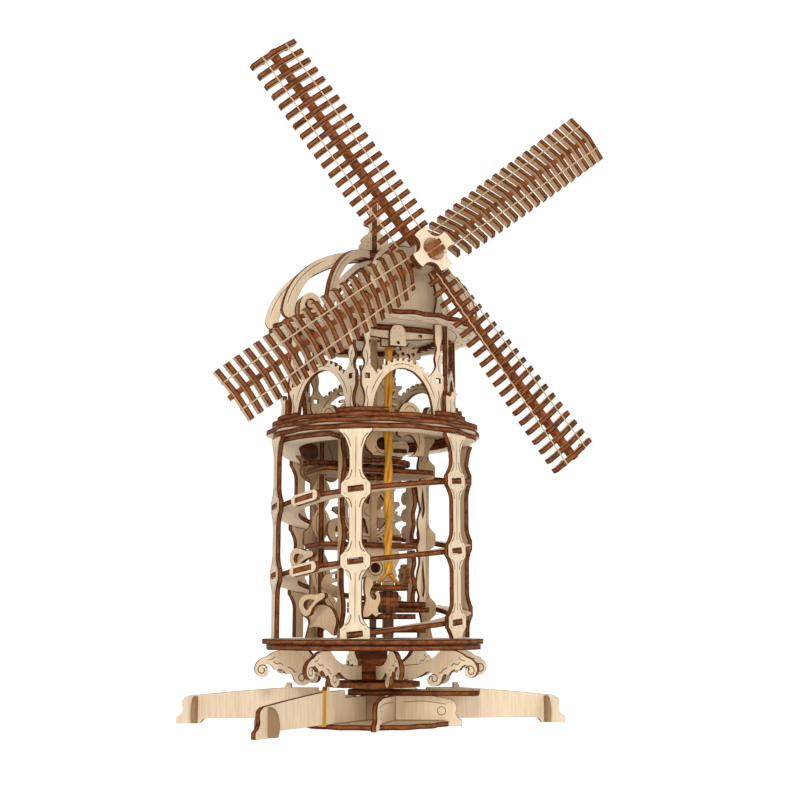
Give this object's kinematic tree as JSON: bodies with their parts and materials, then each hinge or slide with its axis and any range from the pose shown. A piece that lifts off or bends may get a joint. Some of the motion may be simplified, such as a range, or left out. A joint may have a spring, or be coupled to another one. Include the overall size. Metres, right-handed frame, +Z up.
{
  "type": "wooden 3d jigsaw model",
  "caption": "Mechanical windmill kit cut from plywood, with lattice sails, a ribbed cap and an open geared tower on a turntable.",
  "frame": {"origin": "centre of the floor plate's underside, on the tower's axis, at floor level", "axes": "+Z up, the sails face -Y, +X to the right seen from the front"},
  "size_m": [0.2466, 0.1964, 0.3908],
  "materials": {
    "plywood_face": "unfinished birch plywood, laser cut and engraved",
    "charred_edge": "laser-charred plywood edges, red-brown with ply stripes",
    "rubber": "amber rubber band"
  },
  "bodies": {
    "base": {"floor_plate": "plywood_face", "arm_left": "plywood_face", "arm_front_left": "plywood_face", "arm_right": "plywood_face", "arm_back": "plywood_face", "lock_bracket": "plywood_face", "turntable_base": "charred_edge"},
    "tower": {"turntable_top": "charred_edge", "scroll_bracket_1": "plywood_face", "scroll_bracket_2": "plywood_face", "scroll_bracket_3": "plywood_face", "scroll_bracket_4": "plywood_face", "scroll_bracket_5": "plywood_face", "scroll_bracket_6": "plywood_face", "scroll_bracket_7": "plywood_face", "scroll_bracket_8": "plywood_face", "lower_deck_bottom": "charred_edge", "lower_deck_top": "charred_edge", "post_1": "plywood_face", "post_2": "plywood_face", "post_3": "plywood_face", "post_4": "plywood_face", "post_5": "plywood_face", "post_6": "plywood_face", "spiral_ramp": "charred_edge", "upper_deck_1": "charred_edge", "upper_deck_2": "charred_edge", "upper_deck_3": "charred_edge", "inner_frame_right": "plywood_face", "inner_frame_left": "plywood_face", "shelf_low": "plywood_face", "shelf_high": "plywood_face", "gallery_bearing": "plywood_face", "gallery_arch_1": "plywood_face", "gallery_arch_2": "plywood_face", "gallery_arch_3": "plywood_face", "gallery_arch_4": "plywood_face", "gallery_arch_5": "plywood_face", "gallery_arch_6": "plywood_face", "cap_floor": "plywood_face", "gable_front": "plywood_face", "gable_rear": "plywood_face", "dome_ribs": "plywood_face", "finial": "plywood_face", "band_hanger": "plywood_face", "rubber_band": "rubber"},
    "lever": {"lock_lever": "plywood_face"},
    "sails": {"sail_hub": "plywood_face", "sail_1": "charred_edge", "sail_2": "charred_edge", "sail_3": "charred_edge", "sail_4": "charred_edge", "windshaft": "plywood_face", "brake_wheel": "plywood_face"},
    "shaft": {"main_shaft": "plywood_face", "great_wheel": "charred_edge"},
    "governor": {"governor_axle": "plywood_face"},
    "wheel": {"spoked_wheel": "plywood_face"},
    "fingers": {"finger_wheel": "plywood_face"},
    "winding": {"winding_drum": "charred_edge"}
  },
  "joints": [
    {"name": "turntable_joint", "type": "hinge", "parent": "base", "child": "tower", "pos_m": [0, 0, 0.0255], "axis": [0, 0, 1], "continuous": true},
    {"name": "lever_joint", "type": "hinge", "parent": "base", "child": "lever", "pos_m": [0, 0, 0.0191], "axis": [0, 0, 1], "range_deg": [-80, 0]},
    {"name": "sails_joint", "type": "hinge", "parent": "tower", "child": "sails", "pos_m": [0, -0.0808, 0.2677], "axis": [0, -0.9976, 0.0685], "continuous": true},
    {"name": "main_shaft_joint", "type": "hinge", "parent": "tower", "child": "shaft", "pos_m": [0, 0, 0.15], "axis": [0, 0, 1], "continuous": true},
    {"name": "governor_joint", "type": "hinge", "parent": "tower", "child": "governor", "pos_m": [-0.02991, 0.01136, 0.12], "axis": [0, 0, 1], "continuous": true},
    {"name": "spoked_wheel_joint", "type": "hinge", "parent": "tower", "child": "wheel", "pos_m": [0, 0.0102, 0.128], "axis": [0, -1, 0], "continuous": true},
    {"name": "finger_wheel_joint", "type": "hinge", "parent": "tower", "child": "fingers", "pos_m": [0, 0.0102, 0.2016], "axis": [0, -1, 0], "continuous": true},
    {"name": "winding_joint", "type": "hinge", "parent": "tower", "child": "winding", "pos_m": [0, -0.025, 0.065], "axis": [0, 0, 1], "continuous": true}
  ],
  "couplings": [
    {"joint": "main_shaft_joint", "follows": "sails_joint", "ratio": 2},
    {"joint": "governor_joint", "follows": "sails_joint", "ratio": -4},
    {"joint": "spoked_wheel_joint", "follows": "sails_joint", "ratio": 1},
    {"joint": "finger_wheel_joint", "follows": "sails_joint", "ratio": -1},
    {"joint": "winding_joint", "follows": "sails_joint", "ratio": -1.3333}
  ]
}
